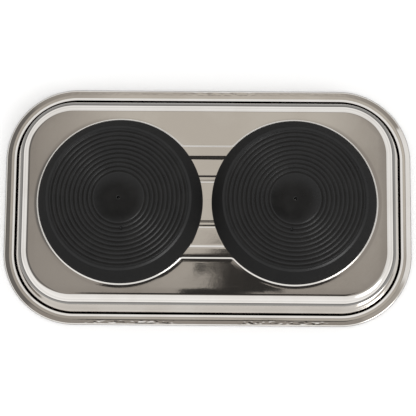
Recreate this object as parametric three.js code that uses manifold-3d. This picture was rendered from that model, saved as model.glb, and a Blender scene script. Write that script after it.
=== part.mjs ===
// Rectangular magnetic parts tray: a pressed sheet-steel dish with a rolled rim, and two
// rubber-booted ring magnets bolted to the outside of its floor.
//
// Units are millimetres and +Z is up. The tray lies rim down with its magnets on top. X runs along
// the tray and Y across it, and the origin is the middle of the plane that the rim rests on.

import * as THREE from 'three';
import { mergeVertices } from 'three/addons/utils/BufferGeometryUtils.js';
import Module from 'manifold-3d';

const wasm = await Module();
wasm.setup();

// Tray
const TRAY_LENGTH = 240;
const TRAY_WIDTH = 140;
const TRAY_CORNER_RADIUS = 42.3;
const SHEET = 0.7; // thickness of the pressed steel
const FLOOR_HEIGHT = 22.6; // outer face of the floor
const FLOOR_INSET = 17.4; // from the rim's outer edge to where the floor starts to bend
const FLOOR_BEND_RADIUS = 6.5; // outer face of the bend between floor and wall
const WALL_DRAFT = 15; // degrees that the wall leans in
const CORNER_STEPS = 9;

// Rolled rim: a flange whose edge is rolled back over it, nearly flat, and ends in a lip that
// rises beside the wall
const ROLL_RADIUS = 1;
const ROLL_CREST = { inset: 3.2, rise: 0.31 }; // end of the slope up from the roll
const ROLL_DIP = { inset: 4.9, rise: 0.25 }; // start of the lip
const LIP_EDGE = { inset: 6.1, rise: 0.61 };
const FLANGE_BEND_RADIUS = 0.8; // outer face of the bend between wall and flange
const WIDE_BEND_STEPS = 6;
const SMALL_BEND_STEPS = 3;
const ROLL_STEPS = 8;

// Seat: the raised figure of eight that carries the two magnets, and its sunk middle panel
const MAGNET_SPACING = 99.8;
const SEAT_HEIGHT = 23.2;
const SEAT_RADIUS = 48.2;
const SEAT_HALF_WIDTH = 32.3; // of the bridge between the two circles
const SEAT_CORNER_RADIUS = 2.5; // where the bridge meets a circle
const PANEL_HALF_WIDTH = 26.1;
const PANEL_DEPTH = 0.3;
const PANEL_CLEAR_OF_SEAT = 47.5; // the panel stops at this radius around each magnet

// Rubber boot
const BOOT_TOP = 38;
const BOOT_BASE_RADIUS = 47.4;
const BOOT_SHOULDER_RADIUS = 41.5;
const BOOT_CEILING = 35.6;
const BOOT_PIN_HOLE_RADIUS = 0.8;
const BOOT_CENTRE_FLAT_RADIUS = 14.6;
const BOOT_RIDGES = 10;
const BOOT_FIRST_RIDGE_RADIUS = 16.3;
const BOOT_RIDGE_PITCH = 2.53;
const BOOT_GROOVE_DEPTH = 0.45;
const BOOT_GROOVE_OFFSET = 0.3; // from halfway between two ridges, outwards, to the groove's bottom
const BOOT_SHOULDER_DROP = 0.6; // below the ridges
const BOOT_SHOULDER_BEVEL = 0.5;
const BOOT_SKIRT_HEIGHT = 1.5; // of the steeper edge at the foot of the boot's side
const BOOT_SKIRT_INSET = 0.4;
const BOOT_ROOM = 0.3; // around the magnet and the pole plate

// Magnet and pole plate inside the boot
const MAGNET_OUTER_RADIUS = 38;
const MAGNET_HOLE_RADIUS = 16;
const MAGNET_THICKNESS = 9;
const MAGNET_BEVEL = 0.6;
const PLATE_RADIUS = 41;
const PLATE_THICKNESS = 2;

// M6 fastener through the tray and the pole plate
const SCREW_RADIUS = 2.95;
const SCREW_TIP = 33;
const SCREW_HEAD_RADIUS = 6;
const SCREW_HEAD_THICKNESS = 2.6;
const SCREW_HEAD_FLAT_RADIUS = 4;
const SCREW_HEAD_BEVEL = 0.6;
const SCREW_HEAD_RIM = 1; // height of the head's upright edge
const SCREW_TIP_BEVEL = 0.8;
const CROSS_RECESS_ARM = 2.6;
const CROSS_RECESS_WIDTH = 1.3;
const CROSS_RECESS_DEPTH = 1.6;
const CLEARANCE_HOLE_RADIUS = 3.4;
const FLAT_WASHER = { inner: 3.3, outer: 7.5, thickness: 1 };
const SPRING_WASHER = { inner: 3.3, outer: 5.6, thickness: 1.4, split: 0.8 };
const NUT_ACROSS_FLATS = 10;
const NUT_THICKNESS = 5;
const NUT_BORE_RADIUS = 3.15;

const GAP = 0.05; // between pieces that are clamped together
const BOOT_STEPS = 44;
const RING_STEPS = 36;
const SMALL_STEPS = 20;
const SEAT_STEPS = 16;
const PANEL_STEPS = 64;
const CUT_HEIGHT = 4; // of the blocks that cut slots

const MATERIALS = {
  stainless: { color: 0xa39c92, roughness: 0.18, metalness: 1 },
  rubber: { color: 0x1d1e1f, roughness: 0.6, metalness: 0 },
  ferrite: { color: 0x35363a, roughness: 0.7, metalness: 0.1 },
  zinc: { color: 0xb4b7b9, roughness: 0.35, metalness: 1 },
};

// ---- helpers -------------------------------------------------------------------------------

const radians = THREE.MathUtils.degToRad;

function material(name) {
  return new THREE.MeshStandardMaterial(MATERIALS[name]);
}

function named(name, geometry, materialName) {
  const mesh = new THREE.Mesh(geometry, material(materialName));
  mesh.name = name;
  return mesh;
}

// Points [x, y] round an arc, from one angle to another in degrees.
function arc(cx, cy, radius, from, to, steps) {
  const points = [];
  for (let i = 0; i <= steps; i += 1) {
    const angle = radians(from + ((to - from) * i) / steps);
    points.push([cx + radius * Math.cos(angle), cy + radius * Math.sin(angle)]);
  }
  return points;
}

function toSolid(geometry) {
  const bare = geometry.clone();
  bare.deleteAttribute('normal');
  bare.deleteAttribute('uv');
  const merged = mergeVertices(bare, 1e-4);
  return new wasm.Manifold(
    new wasm.Mesh({
      numProp: 3,
      vertProperties: merged.getAttribute('position').array,
      triVerts: Uint32Array.from(merged.getIndex().array),
    }),
  );
}

function toGeometry(solid) {
  const { vertProperties, triVerts } = solid.getMesh();
  const geometry = new THREE.BufferGeometry();
  geometry.setAttribute('position', new THREE.BufferAttribute(vertProperties, 3));
  geometry.setIndex(new THREE.BufferAttribute(triVerts, 1));
  geometry.computeVertexNormals();
  return geometry;
}

// An outline extruded between two heights.
function slab(shape, low, high, curveSegments) {
  const geometry = new THREE.ExtrudeGeometry(shape, {
    depth: high - low,
    bevelEnabled: false,
    curveSegments,
  });
  return geometry.translate(0, 0, low);
}

// A body of revolution about Z from a closed profile of [radius, z] points that runs anticlockwise.
function turned(profile, steps) {
  const points = [...profile, profile[0]].map(([r, z]) => new THREE.Vector2(r, z));
  return new THREE.LatheGeometry(points, steps).rotateX(Math.PI / 2);
}

function ring(inner, outer, low, high, steps) {
  const profile = [
    [inner, low],
    [outer, low],
    [outer, high],
    [inner, high],
  ];
  return turned(profile, steps);
}

// ---- tray ----------------------------------------------------------------------------------

// One level of the dish: the tray's outline moved in by an inset, with fixed corner centres.
function outlineAt(inset, z) {
  const centreX = TRAY_LENGTH / 2 - TRAY_CORNER_RADIUS;
  const centreY = TRAY_WIDTH / 2 - TRAY_CORNER_RADIUS;
  const radius = TRAY_CORNER_RADIUS - inset;
  const corners = [
    [centreX, centreY, 0],
    [-centreX, centreY, 90],
    [-centreX, -centreY, 180],
    [centreX, -centreY, 270],
  ];
  return corners.flatMap(([x, y, from]) =>
    arc(x, y, radius, from, from + 90, CORNER_STEPS).map(([px, py]) => [px, py, z]),
  );
}

// The sheet's section as [inset, z] points, from the outer face of the floor's edge, round the
// rolled rim, to the inner face of the floor's edge.
function traySection() {
  const draft = WALL_DRAFT;
  const bendZ = FLOOR_HEIGHT - FLOOR_BEND_RADIUS;
  const wallTop = {
    inset: FLOOR_INSET - FLOOR_BEND_RADIUS * Math.cos(radians(draft)),
    z: bendZ + FLOOR_BEND_RADIUS * Math.sin(radians(draft)),
  };
  const flangeZ = SHEET + FLANGE_BEND_RADIUS;
  const wallFootZ = flangeZ - FLANGE_BEND_RADIUS * Math.sin(radians(draft));
  const wallFoot = wallTop.inset - (wallTop.z - wallFootZ) * Math.tan(radians(draft));
  const flangeX = wallFoot - FLANGE_BEND_RADIUS * Math.cos(radians(draft));
  const rollInner = ROLL_RADIUS - SHEET;
  const hem = [ROLL_CREST, ROLL_DIP, LIP_EDGE].map(({ inset, rise }) => [inset, 2 * ROLL_RADIUS + rise]);
  return [
    ...arc(FLOOR_INSET, bendZ, FLOOR_BEND_RADIUS, 90, 180 - draft, WIDE_BEND_STEPS),
    ...arc(flangeX, flangeZ, FLANGE_BEND_RADIUS, -draft, -90, SMALL_BEND_STEPS),
    ...arc(ROLL_RADIUS, ROLL_RADIUS, rollInner, 270, 90, ROLL_STEPS),
    ...hem.map(([inset, z]) => [inset, z - SHEET]),
    ...hem.reverse(),
    ...arc(ROLL_RADIUS, ROLL_RADIUS, ROLL_RADIUS, 90, 270, ROLL_STEPS),
    ...arc(flangeX, flangeZ, FLANGE_BEND_RADIUS + SHEET, -90, -draft, SMALL_BEND_STEPS),
    ...arc(FLOOR_INSET, bendZ, FLOOR_BEND_RADIUS - SHEET, 180 - draft, 90, WIDE_BEND_STEPS),
  ];
}

// The plain dish: its levels joined in order, and the floor's two faces closing the ends.
function plainDish() {
  const levels = traySection().map(([inset, z]) => outlineAt(inset, z));
  const stations = levels[0].length;
  const positions = levels.flat(2);
  const triangles = [];
  for (let level = 0; level < levels.length - 1; level += 1) {
    for (let i = 0; i < stations; i += 1) {
      const a = level * stations + i;
      const b = level * stations + ((i + 1) % stations);
      const c = b + stations;
      const d = a + stations;
      triangles.push(a, d, b, b, d, c);
    }
  }
  const last = (levels.length - 1) * stations;
  for (let i = 1; i < stations - 1; i += 1) {
    triangles.push(0, i, i + 1);
    triangles.push(last, last + i + 1, last + i);
  }
  const geometry = new THREE.BufferGeometry();
  geometry.setAttribute('position', new THREE.Float32BufferAttribute(positions, 3));
  geometry.setIndex(triangles);
  return geometry;
}

// The seat's outline, moved in by an amount: two circles, a bridge, and rounded corners between.
function seatShape(inwards) {
  const centre = MAGNET_SPACING / 2;
  const radius = SEAT_RADIUS - inwards;
  const half = SEAT_HALF_WIDTH - inwards;
  const corner = SEAT_CORNER_RADIUS + inwards;
  const cornerY = half + corner;
  const cornerX = centre - Math.sqrt((radius + corner) ** 2 - cornerY ** 2);
  const open = Math.atan2(cornerY, centre - cornerX);
  const shape = new THREE.Shape();
  shape.absarc(centre, 0, radius, open - Math.PI, Math.PI - open, false);
  shape.absarc(cornerX, cornerY, corner, -open, -Math.PI / 2, true);
  shape.absarc(-cornerX, cornerY, corner, -Math.PI / 2, open - Math.PI, true);
  shape.absarc(-centre, 0, radius, open, -open, false);
  shape.absarc(-cornerX, -cornerY, corner, Math.PI - open, Math.PI / 2, true);
  shape.absarc(cornerX, -cornerY, corner, Math.PI / 2, open, true);
  return shape;
}

// The block between the two magnets by which the bridge's panel is sunk.
function panelBlock(low, high) {
  const box = new THREE.BoxGeometry(MAGNET_SPACING / 2, 2 * PANEL_HALF_WIDTH, high - low);
  box.translate(0, 0, (low + high) / 2);
  return [-1, 1].reduce((block, side) => {
    const clear = new THREE.CylinderGeometry(
      PANEL_CLEAR_OF_SEAT,
      PANEL_CLEAR_OF_SEAT,
      2 * high,
      PANEL_STEPS,
    );
    clear.rotateX(Math.PI / 2).translate((side * MAGNET_SPACING) / 2, 0, low);
    return block.subtract(toSolid(clear));
  }, toSolid(box));
}

function trayShell() {
  const overlap = 0.3;
  const above = SEAT_HEIGHT + overlap;
  const below = FLOOR_HEIGHT - SHEET - overlap;
  const seatInside = SEAT_HEIGHT - SHEET;
  const boss = toSolid(
    slab(seatShape(0), FLOOR_HEIGHT - overlap, SEAT_HEIGHT, SEAT_STEPS),
  ).subtract(panelBlock(SEAT_HEIGHT - PANEL_DEPTH, above));
  const hollow = toSolid(slab(seatShape(SHEET), below, seatInside, SEAT_STEPS)).subtract(
    panelBlock(seatInside - PANEL_DEPTH, above),
  );
  const drilled = [-1, 1].reduce((tray, side) => {
    const hole = new THREE.CylinderGeometry(
      CLEARANCE_HOLE_RADIUS,
      CLEARANCE_HOLE_RADIUS,
      2 * SEAT_HEIGHT,
      SMALL_STEPS,
    );
    hole.rotateX(Math.PI / 2).translate((side * MAGNET_SPACING) / 2, 0, SEAT_HEIGHT);
    return tray.subtract(toSolid(hole));
  }, toSolid(plainDish()).add(boss).subtract(hollow));
  return named('tray_shell', toGeometry(drilled), 'stainless');
}

// ---- magnet assembly, in the tray's heights, about its own axis ------------------------------

const PLATE_LOW = SEAT_HEIGHT + GAP;
const PLATE_HIGH = PLATE_LOW + PLATE_THICKNESS;
const MAGNET_LOW = PLATE_HIGH + GAP;
const BOOT_LOW = SEAT_HEIGHT + GAP;

// The boot's upper face: a flat centre, then grooves between ridges whose tops are level with it.
function bootFace() {
  const points = [[BOOT_CENTRE_FLAT_RADIUS, BOOT_TOP]];
  for (let i = 0; i < BOOT_RIDGES; i += 1) {
    const ridge = BOOT_FIRST_RIDGE_RADIUS + i * BOOT_RIDGE_PITCH;
    const groove = ridge - BOOT_RIDGE_PITCH / 2 + BOOT_GROOVE_OFFSET;
    points.push([groove, BOOT_TOP - BOOT_GROOVE_DEPTH]);
    points.push([ridge, BOOT_TOP]);
  }
  const bevelStart = BOOT_SHOULDER_RADIUS - BOOT_SHOULDER_BEVEL;
  const lastGroove = (BOOT_SHOULDER_RADIUS + points.at(-1)[0]) / 2;
  points.push([lastGroove, BOOT_TOP - BOOT_GROOVE_DEPTH]);
  points.push([bevelStart, BOOT_TOP]);
  return points;
}

function rubberBoot() {
  const plateRoom = PLATE_RADIUS + BOOT_ROOM;
  const magnetRoom = MAGNET_OUTER_RADIUS + BOOT_ROOM;
  const ledge = PLATE_HIGH + GAP;
  const outside = [
    [BOOT_PIN_HOLE_RADIUS, BOOT_CEILING],
    [BOOT_PIN_HOLE_RADIUS, BOOT_TOP],
    ...bootFace(),
    [BOOT_SHOULDER_RADIUS, BOOT_TOP - BOOT_SHOULDER_DROP],
    [BOOT_BASE_RADIUS - BOOT_SKIRT_INSET, BOOT_LOW + BOOT_SKIRT_HEIGHT],
    [BOOT_BASE_RADIUS, BOOT_LOW],
  ];
  const inside = [
    [plateRoom, BOOT_LOW],
    [plateRoom, ledge],
    [magnetRoom, ledge],
    [magnetRoom, BOOT_CEILING],
  ];
  return turned([...outside, ...inside].reverse(), BOOT_STEPS);
}

function ringMagnet() {
  const high = MAGNET_LOW + MAGNET_THICKNESS;
  const profile = [
    [MAGNET_HOLE_RADIUS, MAGNET_LOW],
    [MAGNET_OUTER_RADIUS, MAGNET_LOW],
    [MAGNET_OUTER_RADIUS, high - MAGNET_BEVEL],
    [MAGNET_OUTER_RADIUS - MAGNET_BEVEL, high],
    [MAGNET_HOLE_RADIUS + MAGNET_BEVEL, high],
    [MAGNET_HOLE_RADIUS, high - MAGNET_BEVEL],
  ];
  return turned(profile, RING_STEPS);
}

function polePlate() {
  return ring(CLEARANCE_HOLE_RADIUS, PLATE_RADIUS, PLATE_LOW, PLATE_HIGH, RING_STEPS);
}

const FLAT_WASHER_HIGH = SEAT_HEIGHT - SHEET - GAP;
const FLAT_WASHER_LOW = FLAT_WASHER_HIGH - FLAT_WASHER.thickness;
const SPRING_WASHER_LOW = PLATE_HIGH + GAP;
const SPRING_WASHER_HIGH = SPRING_WASHER_LOW + SPRING_WASHER.thickness;

function flatWasher() {
  const { inner, outer } = FLAT_WASHER;
  return ring(inner, outer, FLAT_WASHER_LOW, FLAT_WASHER_HIGH, SMALL_STEPS);
}

function springWasher() {
  const { inner, outer, split } = SPRING_WASHER;
  const whole = ring(inner, outer, SPRING_WASHER_LOW, SPRING_WASHER_HIGH, SMALL_STEPS);
  const cut = new THREE.BoxGeometry(2 * outer, split, CUT_HEIGHT);
  cut.translate(outer, 0, SPRING_WASHER_LOW);
  return toGeometry(toSolid(whole).subtract(toSolid(cut)));
}

// A pan-head screw whose head is inside the dish, with a cross recess in it.
function mountingScrew() {
  const headTop = FLAT_WASHER_LOW - GAP;
  const headLow = headTop - SCREW_HEAD_THICKNESS;
  const profile = [
    [0, headLow],
    [SCREW_HEAD_FLAT_RADIUS, headLow],
    [SCREW_HEAD_RADIUS - SCREW_HEAD_BEVEL, headLow + SCREW_HEAD_BEVEL],
    [SCREW_HEAD_RADIUS, headTop - SCREW_HEAD_RIM],
    [SCREW_HEAD_RADIUS, headTop],
    [SCREW_RADIUS, headTop],
    [SCREW_RADIUS, SCREW_TIP - SCREW_TIP_BEVEL],
    [SCREW_RADIUS - SCREW_TIP_BEVEL, SCREW_TIP],
    [0, SCREW_TIP],
  ].map(([r, z]) => new THREE.Vector2(r, z));
  const blank = new THREE.LatheGeometry(profile, SMALL_STEPS).rotateX(Math.PI / 2);
  return [0, Math.PI / 2].reduce((screw, turn) => {
    const arm = new THREE.BoxGeometry(2 * CROSS_RECESS_ARM, CROSS_RECESS_WIDTH, CUT_HEIGHT);
    arm.rotateZ(turn).translate(0, 0, headLow + CROSS_RECESS_DEPTH - CUT_HEIGHT / 2);
    return screw.subtract(toSolid(arm));
  }, toSolid(blank));
}

function hexNut() {
  const corner = NUT_ACROSS_FLATS / Math.sqrt(3);
  const shape = new THREE.Shape(
    arc(0, 0, corner, 0, 300, 5).map(([x, y]) => new THREE.Vector2(x, y)),
  );
  const bore = new THREE.Path().absarc(0, 0, NUT_BORE_RADIUS, 0, 2 * Math.PI, true);
  shape.holes.push(bore);
  const low = SPRING_WASHER_HIGH + GAP;
  return slab(shape, low, low + NUT_THICKNESS, SMALL_STEPS);
}

function magnetAssembly(side) {
  const assembly = new THREE.Group();
  assembly.add(
    named(`rubber_boot_${side}`, rubberBoot(), 'rubber'),
    named(`ring_magnet_${side}`, ringMagnet(), 'ferrite'),
    named(`pole_plate_${side}`, polePlate(), 'zinc'),
    named(`mounting_screw_${side}`, toGeometry(mountingScrew()), 'zinc'),
    named(`flat_washer_${side}`, flatWasher(), 'zinc'),
    named(`spring_washer_${side}`, springWasher(), 'zinc'),
    named(`hex_nut_${side}`, hexNut(), 'zinc'),
  );
  return assembly;
}

// ---- whole part ----------------------------------------------------------------------------

const group = new THREE.Group();
group.add(trayShell());
for (const [side, x] of [
  ['left', -MAGNET_SPACING / 2],
  ['right', MAGNET_SPACING / 2],
]) {
  const assembly = magnetAssembly(side);
  assembly.position.set(x, 0, 0);
  group.add(assembly);
}

export default group;
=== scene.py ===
"""Rectangular magnetic parts tray, lying rim down with its two rubber-booted magnets on top.

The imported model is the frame. The pressed tray, the boots, the screws and the flat washers are
made again here as finer meshes in the places that the frame gives. The magnets, pole plates,
spring washers and nuts inside the boots keep their own meshes. Lengths are in metres.
"""

import math

import bpy
from mathutils import Euler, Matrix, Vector, noise
from mathutils.geometry import delaunay_2d_cdt


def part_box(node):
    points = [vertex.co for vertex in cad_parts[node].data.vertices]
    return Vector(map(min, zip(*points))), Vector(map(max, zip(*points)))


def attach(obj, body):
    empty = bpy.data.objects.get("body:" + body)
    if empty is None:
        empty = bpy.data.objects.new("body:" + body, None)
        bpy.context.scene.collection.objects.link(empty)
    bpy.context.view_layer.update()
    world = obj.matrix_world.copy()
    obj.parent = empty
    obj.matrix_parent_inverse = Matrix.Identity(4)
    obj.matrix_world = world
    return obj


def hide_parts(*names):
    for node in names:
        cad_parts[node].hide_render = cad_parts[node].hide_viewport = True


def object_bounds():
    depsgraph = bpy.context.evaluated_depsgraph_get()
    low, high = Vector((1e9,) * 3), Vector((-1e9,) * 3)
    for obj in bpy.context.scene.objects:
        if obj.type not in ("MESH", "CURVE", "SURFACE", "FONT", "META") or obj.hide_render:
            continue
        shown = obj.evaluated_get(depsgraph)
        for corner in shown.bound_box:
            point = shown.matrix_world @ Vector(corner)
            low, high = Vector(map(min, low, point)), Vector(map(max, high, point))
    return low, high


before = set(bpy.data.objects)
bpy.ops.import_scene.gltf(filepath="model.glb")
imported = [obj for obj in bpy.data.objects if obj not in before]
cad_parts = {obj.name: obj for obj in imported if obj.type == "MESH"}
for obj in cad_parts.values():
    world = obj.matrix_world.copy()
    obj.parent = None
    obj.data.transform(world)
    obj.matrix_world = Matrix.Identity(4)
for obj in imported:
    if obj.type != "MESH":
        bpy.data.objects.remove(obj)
CAD_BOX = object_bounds()

SIDES = ("left", "right")

# ---- sizes: places come from the frame, and a few edges are refined from the CAD's -----------

TRAY_LOW, TRAY_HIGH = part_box("tray_shell")
HALF_LENGTH = TRAY_HIGH.x
HALF_WIDTH = TRAY_HIGH.y
SEAT_TOP = TRAY_HIGH.z
SHEET = 0.0007
CORNER_RADIUS = 0.0423
FLOOR_TOP = 0.0226
FLOOR_INSET = 0.0174
FLOOR_BEND = 0.0065
WALL_DRAFT = 15  # degrees

ROLL_RADIUS = 0.001
# The rolled edge's top face after the roll, as (inset, rise): crest, dip and the lip's edge.
HEM = ((0.0032, 0.00031), (0.0049, 0.00025), (0.0064, 0.00061))
FLANGE_BEND = 0.0008
BACK_DROP = 0.00025  # how much lower the rolled edge's crest is along the back
PUCKER_HEIGHT = 0.00006
# Where the rolled edge is puckered, as (middle, half-length, fade). The front has one each side.
FRONT_PUCKER = (0.045, 0.02, 0.012)
BACK_PUCKER = (0.009, 0.014, 0.008)
BROAD_RIPPLE = 0.00005
FINE_RIPPLE = 0.00001

BOOT_BOXES = [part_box(f"rubber_boot_{side}") for side in SIDES]
MAGNET_X = [(low.x + high.x) / 2 for low, high in BOOT_BOXES]
SEAT_CENTRE = MAGNET_X[1]
SEAT_RADIUS = 0.0478
SEAT_HALF_WIDTH = 0.0324
SEAT_CORNER = 0.003
STEP_WIDTH = 0.0007  # of the steep part of the seat's edge
STEP_RISE = 0.00045
FLANK_WIDTH = 0.0056  # of the gentle slopes either side of it
PANEL_EDGE = 0.0257
PANEL_EDGE_WIDTH = 0.0026
PANEL_DEPTH = 0.0003
GROOVE_Y = 0.0131
GROOVE_HALF_WIDTH = 0.0023
GROOVE_DEPTH = 0.00014
GROOVE_MIDDLE = 0.75  # of its depth, at the low ridge along its middle
SCREW_HOLE = 0.0034
# Circles of points on each seat, as (radius, steps).
SEAT_CIRCLES = ((SCREW_HOLE, 32), (0.012, 36), (0.024, 60), (0.036, 84), (0.0442, 110))

BOOT_LOW, BOOT_HIGH = BOOT_BOXES[1]
BOOT_BASE_RADIUS = BOOT_HIGH.x - SEAT_CENTRE
BOOT_SHOULDER = 0.0415
BOOT_SHOULDER_BEND = 0.0008
BOOT_SHOULDER_SLOPE = 22  # degrees, of the chamfer inside that bend
BOOT_CHAMFER_WIDTH = 0.0012
BOOT_CEILING = 0.0356
PIN_HOLE = 0.0008
FIRST_RIDGE = 0.0163
RIDGE_PITCH = 0.00253
RIDGE_COUNT = 10
RIDGE_OUTER_SLOPE = 0.0009  # width of the slope from a ridge's top outwards
RIDGE_INNER_SLOPE = 0.0006
RIDGE_HEIGHT = 0.0004
GATE_REACH = 0.0175  # from the boot's centre to the moulding gate's mark
GATE_ANGLES = (-84, -97)  # degrees, for the left and the right boot
BOOT_ROOM = 0.0003  # around the magnet and the pole plate

# ---- small helpers ----------------------------------------------------------------------------


def arc(cx, cy, radius, start, end, steps):
    """Points round an arc between two angles in degrees, both ends included."""
    angles = [math.radians(start + (end - start) * i / steps) for i in range(steps + 1)]
    return [(cx + radius * math.cos(a), cy + radius * math.sin(a)) for a in angles]


def between(start, end, steps):
    """Points between two points, without the ends."""
    return [
        tuple(a + (b - a) * i / steps for a, b in zip(start, end)) for i in range(1, steps)
    ]


def soft_step(t):
    """From 0 to 1 as t goes from 0 to 1, level at both ends."""
    return (1 - math.cos(math.pi * min(max(t, 0), 1))) / 2


def new_piece(name, vertices, faces):
    mesh = bpy.data.meshes.new(name)
    mesh.from_pydata(vertices, [], faces)
    mesh.update()
    piece = bpy.data.objects.new(name, mesh)
    bpy.context.scene.collection.objects.link(piece)
    return piece


def apply_modifiers(piece):
    graph = bpy.context.evaluated_depsgraph_get()
    mesh = bpy.data.meshes.new_from_object(piece.evaluated_get(graph))
    piece.modifiers.clear()
    piece.data = mesh


def boolean(piece, cutter, operation):
    """Joins or cuts the piece with the cutter, which is used up."""
    modifier = piece.modifiers.new("boolean", "BOOLEAN")
    modifier.object = cutter
    modifier.operation = operation
    modifier.solver = "EXACT"
    apply_modifiers(piece)
    bpy.data.objects.remove(cutter)


def settle(piece, node, material, crease=50):
    """The last steps for a piece that stands for a CAD node. Edges over the crease stay sharp."""
    piece.data.shade_smooth()
    piece.data.set_sharp_from_angle(angle=math.radians(crease))
    piece.data.materials.clear()
    piece.data.materials.append(material)
    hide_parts(node)
    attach(piece, "root")


def turned(profile, x, steps, closed=True):
    """A profile of (radius, height) points, anticlockwise, turned about the vertical axis at x.

    An open profile starts low and ends high beside the axis, and gets a flat face at each end.
    """
    vertices = [
        (x + r * math.cos(2 * math.pi * j / steps), r * math.sin(2 * math.pi * j / steps), z)
        for r, z in profile
        for j in range(steps)
    ]
    count = len(profile)
    faces = []
    for i in range(count if closed else count - 1):
        low = i * steps
        high = (i + 1) % count * steps
        for j in range(steps):
            k = (j + 1) % steps
            faces.append((low + j, low + k, high + k, high + j))
    if not closed:
        faces.append(tuple(reversed(range(steps))))
        faces.append(tuple(range((count - 1) * steps, count * steps)))
    return vertices, faces


# ---- tray -------------------------------------------------------------------------------------

CORNER_STEPS = 72
LONG_SIDE_STEPS = 200
SHORT_SIDE_STEPS = 14


def tray_ring(inset, height):
    """The tray's outline moved in by an inset, anticlockwise from the right end's upper corner."""
    x = HALF_LENGTH - CORNER_RADIUS
    y = HALF_WIDTH - CORNER_RADIUS
    radius = CORNER_RADIUS - inset
    corners = [(x, y, 0), (-x, y, 90), (-x, -y, 180), (x, -y, 270)]
    arcs = [arc(cx, cy, radius, a, a + 90, CORNER_STEPS) for cx, cy, a in corners]
    ring = []
    for i, points in enumerate(arcs):
        steps = (LONG_SIDE_STEPS, SHORT_SIDE_STEPS)[i % 2]
        ring += points + between(points[-1], arcs[(i + 1) % 4][0], steps)
    return [(px, py, height) for px, py in ring]


def sheet_section():
    """The outer face of the sheet as (inset, height), from its rolled edge to the floor's edge."""
    bend_centre = SHEET + FLANGE_BEND
    floor_bend = arc(FLOOR_INSET, FLOOR_TOP - FLOOR_BEND, FLOOR_BEND, 180 - WALL_DRAFT, 90, 28)
    wall_top = floor_bend[0]
    draft = math.radians(WALL_DRAFT)
    wall_foot_height = bend_centre - FLANGE_BEND * math.sin(draft)
    wall_foot = wall_top[0] - (wall_top[1] - wall_foot_height) * math.tan(draft)
    flange_bend = arc(
        wall_foot - FLANGE_BEND * math.cos(draft), bend_centre, FLANGE_BEND, -90, -WALL_DRAFT, 8
    )
    roll = arc(ROLL_RADIUS, ROLL_RADIUS, ROLL_RADIUS - SHEET, 90, 270, 16)
    corners = [(inset, 2 * ROLL_RADIUS + rise - SHEET) for inset, rise in reversed(HEM)]
    ends = zip(corners, [*corners[1:], roll[0]])
    hem = [point for start, end in ends for point in (start, *between(start, end, 8))]
    return [
        *hem,
        *roll,
        *between(roll[-1], flange_bend[0], 4),
        *flange_bend,
        *between(flange_bend[-1], wall_top, 8),
        *floor_bend,
    ]


def seat_ring(offset):
    """The seat's outline, moved outwards: two circles and a bridge with rounded corners."""
    radius = SEAT_RADIUS + offset
    corner = SEAT_CORNER - offset
    corner_y = SEAT_HALF_WIDTH + SEAT_CORNER
    reach = SEAT_RADIUS + SEAT_CORNER
    corner_x = SEAT_CENTRE - math.sqrt(reach**2 - corner_y**2)
    opening = math.degrees(math.atan2(corner_y, SEAT_CENTRE - corner_x))
    half = [
        *arc(SEAT_CENTRE, 0, radius, opening - 180, 180 - opening, 130),
        *arc(corner_x, corner_y, corner, -opening, -90, 10)[1:],
        *between((corner_x, corner_y - corner), (-corner_x, corner_y - corner), 16),
        *arc(-corner_x, corner_y, corner, -90, opening - 180, 10)[:-1],
    ]
    return half + [(-x, -y) for x, y in half]


def seat_edge_height(offset):
    """Height of the seat's edge: a steep step with a gentle slope above and below it."""
    step = STEP_RISE * soft_step(0.5 - offset / STEP_WIDTH)
    flank = (SEAT_TOP - FLOOR_TOP - STEP_RISE) * soft_step(0.5 - offset / FLANK_WIDTH)
    return FLOOR_TOP + step + flank


def groove_depth(away):
    """Depth of a groove at a distance from its middle, where a low ridge runs along it."""
    part = 2 * away / GROOVE_HALF_WIDTH
    if part > 1:
        return GROOVE_DEPTH * soft_step(2 - part)
    return GROOVE_DEPTH * (GROOVE_MIDDLE + (1 - GROOVE_MIDDLE) * soft_step(part))


def bridge_height(y):
    """Height of the bridge between the magnets: a sunk panel with two grooves along it."""
    across = abs(y)
    panel = PANEL_DEPTH * (1 - soft_step((across - PANEL_EDGE) / PANEL_EDGE_WIDTH + 0.5))
    return SEAT_TOP - panel - groove_depth(abs(across - GROOVE_Y))


def bridge_rows():
    """Rows of points along the bridge, close together where its height changes."""
    row_end = 0.0466  # the rows' radius from the magnets, just under the boots' edges
    fine = 0.00025
    coarse = 0.00055
    end = SEAT_HALF_WIDTH - FLANK_WIDTH / 2 - 0.0002
    across = -end
    rows = []
    while across < end + fine / 2:
        half = SEAT_CENTRE - math.sqrt(row_end**2 - across**2)
        rows.append([(half * i / 6, across, bridge_height(across)) for i in range(-6, 7)])
        near_groove = abs(abs(across) - GROOVE_Y) < GROOVE_HALF_WIDTH + fine
        near_edge = abs(abs(across) - PANEL_EDGE) < PANEL_EDGE_WIDTH / 2 + fine
        across += fine if near_groove or near_edge else coarse
    return rows


def open_floor_points():
    """A grid over the floor outside the seat."""
    step = 0.0035
    margin = 0.0012
    clear = FLANK_WIDTH / 2 + margin
    half_x = HALF_LENGTH - FLOOR_INSET
    half_y = HALF_WIDTH - FLOOR_INSET
    corner = CORNER_RADIUS - FLOOR_INSET
    points = []
    for i in range(-30, 31):
        for j in range(-16, 17):
            x, y = i * step, j * step
            from_seat = math.hypot(abs(x) - SEAT_CENTRE, y) - SEAT_RADIUS
            in_bridge = abs(x) < SEAT_CENTRE and abs(y) < SEAT_HALF_WIDTH + clear
            past_x = max(abs(x) - half_x + corner, 0)
            past_y = max(abs(y) - half_y + corner, 0)
            in_floor = Vector((past_x, past_y)).length < corner - margin
            if from_seat > clear and not in_bridge and in_floor:
                points.append((x, y, FLOOR_TOP))
    return points


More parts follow.
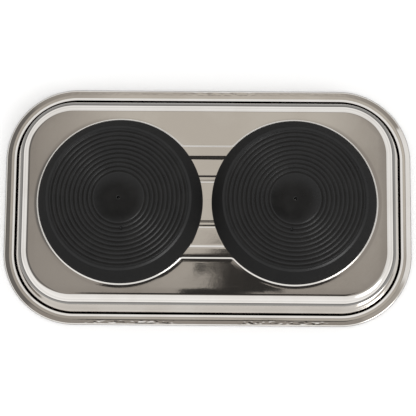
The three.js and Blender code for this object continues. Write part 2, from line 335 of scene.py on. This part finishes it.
def floor_surface(edge):
    """Vertices and triangles of the floor inside its edge, with the seat raised on it."""
    points = list(edge)
    lines = []

    def add_line(line, closed):
        start = len(points)
        points.extend(line)
        ends = [(start + i, start + i + 1) for i in range(len(line) - 1)]
        lines.extend(ends + [(start + len(line) - 1, start)] * closed)

    lines.extend((i, (i + 1) % len(edge)) for i in range(len(edge)))
    for i in range(-10, 11):
        offset = math.copysign(abs(i / 10) ** 1.8, i) * FLANK_WIDTH / 2
        height = seat_edge_height(offset)
        add_line([(x, y, height) for x, y in seat_ring(offset)], True)
    for row in bridge_rows():
        add_line(row, False)
    for centre in MAGNET_X:
        for radius, steps in SEAT_CIRCLES:
            circle = arc(centre, 0, radius, 0, 360, steps)[:-1]
            add_line([(x, y, SEAT_TOP) for x, y in circle], True)
    points.extend(open_floor_points())
    flat = [Vector(p[:2]) for p in points]
    _, _, triangles, sources, _, _ = delaunay_2d_cdt(flat, lines, [range(len(edge))], 1, 1e-7)
    index = [min(source) for source in sources]
    faces = [tuple(index[v] for v in triangle) for triangle in triangles]
    return points, [f for f in faces if not over_screw_hole([points[v] for v in f])]


def over_screw_hole(corners):
    """Whether a face with these corners covers a screw's hole."""
    x, y, _ = (sum(axis) / len(corners) for axis in zip(*corners))
    return min(math.hypot(x - centre, y) for centre in MAGNET_X) < SCREW_HOLE


def pressing_ripple(x, y):
    """The slight unevenness of pressed sheet, in metres."""
    broad = noise.noise(Vector((x * 28, y * 28, 0.3)))
    close = noise.noise(Vector((x * 75, y * 75, 4.1)))
    return BROAD_RIPPLE * broad + FINE_RIPPLE * close


def hem_shift(x, y, inset, height):
    """How the rolled edge strays: lower along the back, and puckered along a few stretches."""
    crest = HEM[0][0]
    if inset > HEM[-1][0] + 0.0001:
        return 0
    across = min(max((inset - ROLL_RADIUS) / (crest - ROLL_RADIUS), 0), 1)
    back = soft_step((y - 0.035) / 0.025)
    along, (middle, half, fade) = (abs(x), FRONT_PUCKER) if y < 0 else (x, BACK_PUCKER)
    stretch = 1 - soft_step((abs(along - middle) - half) / fade)
    straight = soft_step((abs(y) - 0.06) / 0.008) * soft_step((crest - inset) / 0.001)
    pucker = PUCKER_HEIGHT * noise.noise(Vector((x * 520, inset * 900, 7.7)))
    above_flange = soft_step((height - SHEET) / (2 * (ROLL_RADIUS - SHEET)))
    return above_flange * (pucker * straight * (0.2 + 0.8 * stretch) - BACK_DROP * back * across)


def add_tray(material):
    section = sheet_section()
    rings = [
        [(x, y, z + hem_shift(x, y, inset, height)) for x, y, z in tray_ring(inset, height)]
        for inset, height in section
    ]
    stations = len(rings[0])
    vertices = [point for ring in rings[:-1] for point in ring]
    last = len(vertices)
    faces = []
    for level in range(len(rings) - 1):
        low = level * stations
        for i in range(stations):
            k = (i + 1) % stations
            faces.append((low + i, low + k, low + stations + k, low + stations + i))
    points, triangles = floor_surface(rings[-1])
    vertices += points
    faces += [tuple(last + v for v in triangle) for triangle in triangles]
    vertices = [(x, y, z + pressing_ripple(x, y)) for x, y, z in vertices]
    tray = new_piece("pressed_tray", vertices, faces)
    thickness = tray.modifiers.new("sheet", "SOLIDIFY")
    thickness.thickness = SHEET
    thickness.offset = -1
    thickness.use_even_offset = True
    edge = tray.modifiers.new("cut_edge", "BEVEL")
    edge.limit_method = "ANGLE"
    edge.angle_limit = math.radians(55)
    edge.width = 0.00012
    edge.segments = 2
    apply_modifiers(tray)
    settle(tray, "tray_shell", material)
    return tray


# ---- boots ------------------------------------------------------------------------------------


def ridge_height(radius):
    """How far below the ridges' tops the boot's face is at a radius."""
    centre_edge = FIRST_RIDGE - RIDGE_PITCH
    number = math.floor((radius - centre_edge) / RIDGE_PITCH)
    outwards = radius - centre_edge - min(number, RIDGE_COUNT) * RIDGE_PITCH
    if number < 0:
        return 0
    inwards = RIDGE_PITCH - outwards if number < RIDGE_COUNT else RIDGE_PITCH
    drop = min(outwards / RIDGE_OUTER_SLOPE, inwards / RIDGE_INNER_SLOPE)
    return -RIDGE_HEIGHT * soft_step(drop)


def boot_profile():
    """The boot's section as (radius, height), anticlockwise: inside, then skirt, side and face."""
    top = BOOT_HIGH.z
    low = BOOT_LOW.z
    plate_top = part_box("pole_plate_right")[1].z + 0.00005
    plate_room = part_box("pole_plate_right")[1].x - SEAT_CENTRE + BOOT_ROOM
    magnet_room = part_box("ring_magnet_right")[1].x - SEAT_CENTRE + BOOT_ROOM
    inside = [
        (PIN_HOLE, BOOT_CEILING),
        (magnet_room, BOOT_CEILING),
        (magnet_room, plate_top),
        (plate_room, plate_top),
        (plate_room, low),
    ]
    skirt = [
        (SEAT_RADIUS - FLANK_WIDTH / 2, low),
        (BOOT_BASE_RADIUS - 0.0003, low - 0.00015),
        *arc(BOOT_BASE_RADIUS - 0.0003, low + 0.00015, 0.0003, -90, 0, 4)[1:],
        (BOOT_BASE_RADIUS - 0.00005, low + 0.0009),
    ]
    bend = BOOT_SHOULDER_BEND
    slope = math.radians(BOOT_SHOULDER_SLOPE)
    bend_x = BOOT_SHOULDER - bend
    bend_z = top - BOOT_CHAMFER_WIDTH * math.tan(slope) - bend * math.cos(slope)
    shoulder = arc(bend_x, bend_z, bend, 25, 90 - BOOT_SHOULDER_SLOPE, 6)
    side = between(skirt[-1], shoulder[0], 8)
    chamfer_end = (shoulder[-1][0] - BOOT_CHAMFER_WIDTH, top)
    shoulder += [*between(shoulder[-1], chamfer_end, 4), chamfer_end]
    groove_edge = chamfer_end[0] - 0.0006
    closing = [
        (groove_edge + 0.0004, top - 0.00002),
        (groove_edge + 0.0002, top - 0.0002),
    ]
    step = RIDGE_PITCH / 20
    count = int((groove_edge - FIRST_RIDGE + RIDGE_PITCH) / step)
    radii = [groove_edge - i * step for i in range(count)]
    face = [(radius, top + ridge_height(radius)) for radius in radii]
    centre = [
        (0.006, top),
        (0.002, top),
        (PIN_HOLE + 0.0005, top),
        (PIN_HOLE + 0.0003, top),
        (PIN_HOLE, top - 0.0003),
    ]
    return [*inside, *skirt, *side, *shoulder, *closing, *face, *centre]


def add_boot(side, centre, gate_angle, material):
    """A boot turned from its profile, with the pit that the moulding gate left in its face."""
    boot = new_piece(f"boot_{side}", *turned(boot_profile(), centre, 160))
    low = BOOT_HIGH.z - 0.0014
    high = BOOT_HIGH.z + 0.0005
    gate_profile = [(0.0006, low), (0.0009, low + 0.0003), (0.001, high)]
    gate = new_piece("gate_mark", *turned(gate_profile, 0, 20, closed=False))
    x = centre + GATE_REACH * math.cos(math.radians(gate_angle))
    y = GATE_REACH * math.sin(math.radians(gate_angle))
    gate.location = (x, y, 0)
    bpy.context.view_layer.update()
    boolean(boot, gate, "DIFFERENCE")
    settle(boot, f"rubber_boot_{side}", material)
    return boot


# ---- fasteners --------------------------------------------------------------------------------


def recess_arm(x, low, depth, turn):
    """One arm of the cross recess: a bar that narrows towards the recess's bottom."""
    long, short, wide, narrow = 0.0028, 0.0012, 0.0008, 0.0005
    corners = [(-1, -1), (1, -1), (1, 1), (-1, 1)]
    vertices = [(sx * long, sy * wide, low - 0.0005) for sx, sy in corners]
    vertices += [(sx * short, sy * narrow, low + depth) for sx, sy in corners]
    faces = [(3, 2, 1, 0), (4, 5, 6, 7)]
    faces += [(i, (i + 1) % 4, (i + 1) % 4 + 4, i + 4) for i in range(4)]
    arm = new_piece("recess_arm", vertices, faces)
    arm.location.x = x
    arm.rotation_euler.z = turn
    bpy.context.view_layer.update()
    return arm


def add_screw(side, material):
    node = f"mounting_screw_{side}"
    low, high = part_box(node)
    centre = (low.x + high.x) / 2
    head_radius = (high.x - low.x) / 2
    head_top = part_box(f"flat_washer_{side}")[0].z - 0.00005
    dome = head_top - low.z
    shank = 0.00295
    edge = 0.001
    profile = [
        *[
            (
                head_radius * math.sin(math.radians(a)),
                head_top - edge - (dome - edge) * math.cos(math.radians(a)) ** 0.8,
            )
            for a in (2, 12, 22, 32, 42, 52, 60, 68, 75, 81, 86)
        ],
        (head_radius, head_top - edge),
        (head_radius, head_top - 0.0001),
        (head_radius - 0.0001, head_top),
        (shank, head_top),
        (shank, high.z - 0.0008),
        (shank - 0.0008, high.z),
        (0.0002, high.z),
    ]
    screw = new_piece(f"screw_{side}", *turned(profile, centre, 48, closed=False))
    for turn in (math.radians(20), math.radians(110)):
        boolean(screw, recess_arm(centre, low.z, 0.0017, turn), "DIFFERENCE")
    settle(screw, node, material, crease=32)
    return screw


def add_washer(side, material):
    node = f"flat_washer_{side}"
    low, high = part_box(node)
    centre = (low.x + high.x) / 2
    outer = (high.x - low.x) / 2
    inner = 0.0033
    round_off = 0.0002
    profile = [
        (inner, low.z + round_off),
        (inner + round_off, low.z),
        *arc(outer - round_off, low.z + round_off, round_off, -90, 0, 4),
        *arc(outer - round_off, high.z - round_off, round_off, 0, 90, 4),
        (inner + round_off, high.z),
        (inner, high.z - round_off),
    ]
    washer = new_piece(f"washer_{side}", *turned(profile, centre, 64))
    settle(washer, node, material, crease=60)
    return washer


# ---- materials --------------------------------------------------------------------------------


def add_node(tree, kind, inputs=None, **settings):
    """A node with its settings and inputs. An input is a value, or a socket to link from."""
    node = tree.nodes.new(kind)
    for name, value in settings.items():
        setattr(node, name, value)
    for key, value in (inputs or {}).items():
        if isinstance(value, bpy.types.NodeSocket):
            tree.links.new(value, node.inputs[key])
        else:
            node.inputs[key].default_value = value
    return node


def math_node(tree, operation, *values):
    return add_node(tree, "ShaderNodeMath", dict(enumerate(values)), operation=operation).outputs[0]


def remap(tree, value, source, target, smooth=False):
    """The value, taken from one range to another and held at its ends."""
    inputs = {
        "Value": value,
        "From Min": source[0],
        "From Max": source[1],
        "To Min": target[0],
        "To Max": target[1],
    }
    kind = "SMOOTHSTEP" if smooth else "LINEAR"
    return add_node(tree, "ShaderNodeMapRange", inputs, interpolation_type=kind).outputs["Result"]


def mix_colour(tree, factor, first, second):
    inputs = {"Factor": factor, 6: first, 7: second}
    return add_node(tree, "ShaderNodeMix", inputs, data_type="RGBA").outputs[2]


def noise_value(tree, place, scale, detail=2.0, distortion=0.0):
    inputs = {"Vector": place, "Scale": scale, "Detail": detail, "Distortion": distortion}
    return add_node(tree, "ShaderNodeTexNoise", inputs).outputs["Fac"]


def stretched(tree, place, scale, turn=0.0):
    """The place, scaled along each axis after a turn about the vertical, for streaks."""
    inputs = {"Vector": place, "Rotation": (0, 0, turn), "Scale": scale}
    return add_node(tree, "ShaderNodeMapping", inputs).outputs["Vector"]


def new_material(name, metallic, specular=0.5):
    """A material with its tree, its shader and the place of each point, in metres."""
    material = bpy.data.materials.new(name)
    material.use_nodes = True
    tree = material.node_tree
    shader = tree.nodes["Principled BSDF"]
    shader.inputs["Metallic"].default_value = metallic
    shader.inputs["Specular IOR Level"].default_value = specular
    place = add_node(tree, "ShaderNodeTexCoord").outputs["Object"]
    return material, tree, shader, place


def add_bump(tree, shader, height, distance, strength=1.0):
    inputs = {"Height": height, "Distance": distance, "Strength": strength}
    bump = add_node(tree, "ShaderNodeBump", inputs)
    tree.links.new(bump.outputs["Normal"], shader.inputs["Normal"])


def stainless_steel():
    """Polished sheet with a fine grain along the tray, faint scratches and handling smudges."""
    material, tree, shader, place = new_material("stainless_steel", 1)
    smudge = noise_value(tree, place, 38, 4, 0.6)
    grain = noise_value(tree, stretched(tree, place, (90, 2600, 2600)), 1, 3)
    scratches = noise_value(tree, stretched(tree, place, (40, 2200, 2200), 0.5), 1, 1)
    scratch = remap(tree, scratches, (0.70, 0.76), (0, 1))
    tint = remap(tree, smudge, (0.35, 0.65), (0, 1), smooth=True)
    colour = mix_colour(tree, tint, (0.655, 0.632, 0.602, 1), (0.625, 0.598, 0.565, 1))
    tree.links.new(colour, shader.inputs["Base Color"])
    rough = math_node(
        tree,
        "ADD",
        remap(tree, smudge, (0.4, 0.7), (0.03, 0.05), smooth=True),
        remap(tree, grain, (0.3, 0.7), (0, 0.015)),
    )
    rough = math_node(tree, "ADD", rough, math_node(tree, "MULTIPLY", scratch, 0.06))
    tree.links.new(rough, shader.inputs["Roughness"])
    dimples = noise_value(tree, place, 420, 2)
    height = math_node(tree, "MULTIPLY_ADD", grain, 0.10, dimples)
    add_bump(tree, shader, height, 0.000003)
    return material


def boot_rubber():
    """Moulded black rubber: a matte, slightly mottled face with a fine grain."""
    material, tree, shader, place = new_material("boot_rubber", 0, 0.3)
    mottle = noise_value(tree, place, 120, 4)
    grain = noise_value(tree, place, 2600, 3)
    dust = noise_value(tree, place, 900, 2)
    colour = mix_colour(
        tree,
        remap(tree, mottle, (0.35, 0.7), (0, 1), smooth=True),
        (0.0027, 0.0027, 0.0028, 1),
        (0.0048, 0.0047, 0.0046, 1),
    )
    specks = remap(tree, dust, (0.70, 0.78), (0, 0.25))
    colour = mix_colour(tree, specks, colour, (0.05, 0.048, 0.045, 1))
    tree.links.new(colour, shader.inputs["Base Color"])
    facing = add_node(tree, "ShaderNodeTexCoord").outputs["Normal"]
    upward = add_node(tree, "ShaderNodeSeparateXYZ", {0: facing}).outputs["Z"]
    side_rough = remap(tree, upward, (0.55, 0.8), (0.6, 0))
    rough = math_node(tree, "ADD", remap(tree, mottle, (0.3, 0.7), (0.27, 0.34)), side_rough)
    tree.links.new(rough, shader.inputs["Roughness"])
    add_bump(tree, shader, grain, 0.00003)
    return material


def ferrite():
    """Sintered magnet: dark grey and faintly granular."""
    material, tree, shader, place = new_material("ferrite", 0.1)
    grain = noise_value(tree, place, 1500, 4)
    colour = mix_colour(tree, grain, (0.022, 0.022, 0.025, 1), (0.055, 0.055, 0.06, 1))
    tree.links.new(colour, shader.inputs["Base Color"])
    tree.links.new(remap(tree, grain, (0.3, 0.7), (0.6, 0.8)), shader.inputs["Roughness"])
    add_bump(tree, shader, grain, 0.00004)
    return material


def zinc(name, light, dark, rough):
    """Bright zinc plating, lightly clouded."""
    material, tree, shader, place = new_material(name, 1)
    cloud = noise_value(tree, place, 260, 4, 0.4)
    grain = noise_value(tree, place, 2400, 2)
    colour = mix_colour(tree, remap(tree, cloud, (0.3, 0.7), (0, 1)), light, dark)
    tree.links.new(colour, shader.inputs["Base Color"])
    tree.links.new(remap(tree, cloud, (0.3, 0.7), rough), shader.inputs["Roughness"])
    add_bump(tree, shader, grain, 0.000008)
    return material


# ---- surroundings -----------------------------------------------------------------------------


def patch(tree, direction, centre, inner, outer):
    """1 within an angle of a direction, in degrees, falling to 0 at a wider one."""
    inputs = {0: direction, 1: centre}
    dot = add_node(tree, "ShaderNodeVectorMath", inputs, operation="DOT_PRODUCT").outputs["Value"]
    angle = math_node(tree, "DEGREES", math_node(tree, "ARCCOSINE", dot))
    return remap(tree, angle, (inner, outer), (1, 0), smooth=True)


def panel(tree, leans, ranges, soft):
    """1 where the leans towards +X and +Y are in their ranges, in degrees, with soft edges."""
    product = 1.0
    for lean, (low, high) in zip(leans, ranges):
        above = remap(tree, lean, (low - soft, low + soft), (0, 1), smooth=True)
        below = remap(tree, lean, (high - soft, high + soft), (1, 0), smooth=True)
        product = math_node(tree, "MULTIPLY", product, math_node(tree, "MULTIPLY", above, below))
    return product


def lean_angles(tree, direction):
    """How far a direction leans from straight up towards +X and towards +Y, in degrees."""
    parts = add_node(tree, "ShaderNodeSeparateXYZ", {0: direction}).outputs
    slants = [math_node(tree, "ARCTAN2", parts[axis], parts["Z"]) for axis in ("X", "Y")]
    return [math_node(tree, "DEGREES", slant) for slant in slants]


def ragged(tree, leans, direction):
    """The leans, shifted by noise, so that a panel's outline is uneven."""
    waves = [noise_value(tree, direction, scale, 2) for scale in (110, 130)]
    shifts = [remap(tree, wave, (0.2, 0.8), (-0.3, 0.3)) for wave in waves]
    return [math_node(tree, "ADD", lean, shift) for lean, shift in zip(leans, shifts)]


# The light tent's brightness by angle from straight up, in degrees.
TENT = [
    (0, 1.0), (34, 1.1), (46, 1.2), (58, 1.0), (70, 1.15), (80, 1.3), (85, 0.7), (88, 0.12),
    (92, 0.2), (100, 0.36), (180, 0.45),
]
TENT_PEAK = 2.0

# Panels overhead, as (leans towards +X, leans towards +Y, edge, colour): a warm card, the glow in
# it, a dull board on the left and a grey one at the front right.
OVERHEAD = [
    ((-28, 16.5), (-16, 20.6), 1.2, (0.39, 0.36, 0.33, 1)),
    ((-6.5, 6.5), (5.4, 17), 2.8, (0.70, 0.66, 0.60, 1)),
    ((-27, -10.8), (-9, 20), 1.0, (0.20, 0.19, 0.18, 1)),
    ((12, 23), (-16, -1), 1.5, (0.52, 0.49, 0.45, 1)),
]

# The camera and its stand as seen from the tray, as (leans towards +X, leans towards +Y, edge).
CAMERA_SHADE = [
    ((-6.5, 7), (-10.5, 2.2), 0.3),
    ((-1.6, 1.0), (1.5, 4.0), 0.12),
    ((-0.4, 2.8), (3.2, 6.4), 0.2),
    ((-1.2, 0.0), (4.9, 5.5), 0.1),
]
CAMERA_COLOUR = (0.04, 0.038, 0.036, 1)

# The key light: its direction, its full and faded reach in degrees, and its colour.
KEY_DIRECTION = Vector((0.5, -0.5, 0.707)).normalized()
KEY_REACH = (7, 16)
KEY_COLOUR = (7, 7, 7, 1)
BACKDROP_COLOUR = (0.93, 0.93, 0.93, 1)  # what the camera sees past the floor


def add_world():
    """A light tent with bright sides: dull panels and a camera overhead, and one key light."""
    world = bpy.data.worlds.new("light_tent")
    bpy.context.scene.world = world
    world.use_nodes = True
    tree = world.node_tree
    background = tree.nodes["Background"]
    direction = add_node(tree, "ShaderNodeTexCoord").outputs["Generated"]
    parts = add_node(tree, "ShaderNodeSeparateXYZ", {0: direction}).outputs
    angle = math_node(tree, "DEGREES", math_node(tree, "ARCCOSINE", parts["Z"]))
    lower_front = remap(tree, parts["Y"], (-0.3, -0.9), (0, -16), smooth=True)
    tent_angle = math_node(tree, "ADD", angle, lower_front)
    ramp = add_node(tree, "ShaderNodeValToRGB", {"Fac": remap(tree, tent_angle, (0, 180), (0, 1))})
    stops = ramp.color_ramp.elements
    while len(stops) < len(TENT):
        stops.new(0.5)
    for stop, (degrees, level) in zip(stops, TENT):
        stop.position = degrees / 180
        stop.color = (level / TENT_PEAK, level / TENT_PEAK, level / TENT_PEAK, 1)
    leans = lean_angles(tree, direction)
    front = remap(tree, leans[1], (-13, -19), (TENT_PEAK, 1.1 * TENT_PEAK), smooth=True)
    inputs = {0: ramp.outputs["Color"], "Scale": front}
    tent = add_node(tree, "ShaderNodeVectorMath", inputs, operation="SCALE").outputs["Vector"]
    for *ranges, soft, colour in OVERHEAD:
        tent = mix_colour(tree, panel(tree, leans, ranges, soft), tent, colour)
    uneven = ragged(tree, leans, direction)
    for *ranges, soft in CAMERA_SHADE:
        tent = mix_colour(tree, panel(tree, uneven, ranges, soft), tent, CAMERA_COLOUR)
    key = patch(tree, direction, KEY_DIRECTION, *KEY_REACH)
    tent = mix_colour(tree, key, tent, KEY_COLOUR)
    seen = add_node(tree, "ShaderNodeLightPath").outputs["Is Camera Ray"]
    colour = mix_colour(tree, seen, tent, BACKDROP_COLOUR)
    tree.links.new(colour, background.inputs["Color"])
    return world


def add_floor():
    """A plain pale floor that the steel doesn't mirror, clear from below."""
    size = 4.0
    height = CAD_BOX[0].z - 0.0001
    corners = [(-1, -1), (1, -1), (1, 1), (-1, 1)]
    floor = new_piece("floor", [(x * size, y * size, height) for x, y in corners], [(0, 1, 2, 3)])
    floor.visible_glossy = False
    material = bpy.data.materials.new("floor_paper")
    material.use_nodes = True
    tree = material.node_tree
    shader = tree.nodes["Principled BSDF"]
    shader.inputs["Base Color"].default_value = (0.92, 0.92, 0.92, 1)
    shader.inputs["Roughness"].default_value = 0.9
    shader.inputs["Specular IOR Level"].default_value = 0
    below = add_node(tree, "ShaderNodeNewGeometry").outputs["Backfacing"]
    clear = add_node(tree, "ShaderNodeBsdfTransparent").outputs["BSDF"]
    mixed = add_node(tree, "ShaderNodeMixShader", {0: below, 1: shader.outputs["BSDF"], 2: clear})
    tree.links.new(mixed.outputs[0], tree.nodes["Material Output"].inputs["Surface"])
    floor.data.materials.append(material)


def add_camera():
    data = bpy.data.cameras.new("camera")
    data.sensor_width = 36
    data.lens = 108.9
    data.clip_start = 0.01
    data.clip_end = 50
    camera = bpy.data.objects.new("camera", data)
    bpy.context.scene.collection.objects.link(camera)
    camera.rotation_mode = "YXZ"
    camera.rotation_euler = Euler([math.radians(a) for a in (7.937, 0.628, 0.425)], "YXZ")
    camera.location = (0.00915, -0.1033, 0.73838)
    bpy.context.scene.camera = camera


# ---- whole scene ------------------------------------------------------------------------------

add_camera()
add_world()
add_floor()
bpy.context.scene.view_settings.view_transform = "Standard"

steel = stainless_steel()
rubber = boot_rubber()
magnet = ferrite()
plating = zinc("zinc_plating", (0.62, 0.63, 0.64, 1), (0.5, 0.51, 0.53, 1), (0.28, 0.42))
fastener_plating = zinc("fastener_plating", (0.7, 0.71, 0.72, 1), (0.58, 0.59, 0.6, 1), (0.2, 0.34))

add_tray(steel)
for side, centre, gate_angle in zip(SIDES, MAGNET_X, GATE_ANGLES):
    add_boot(side, centre, gate_angle, rubber)
    add_screw(side, fastener_plating)
    add_washer(side, fastener_plating)
    kept = {
        f"ring_magnet_{side}": magnet,
        f"pole_plate_{side}": plating,
        f"spring_washer_{side}": fastener_plating,
        f"hex_nut_{side}": fastener_plating,
    }
    for node, material in kept.items():
        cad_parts[node].material_slots[0].material = material
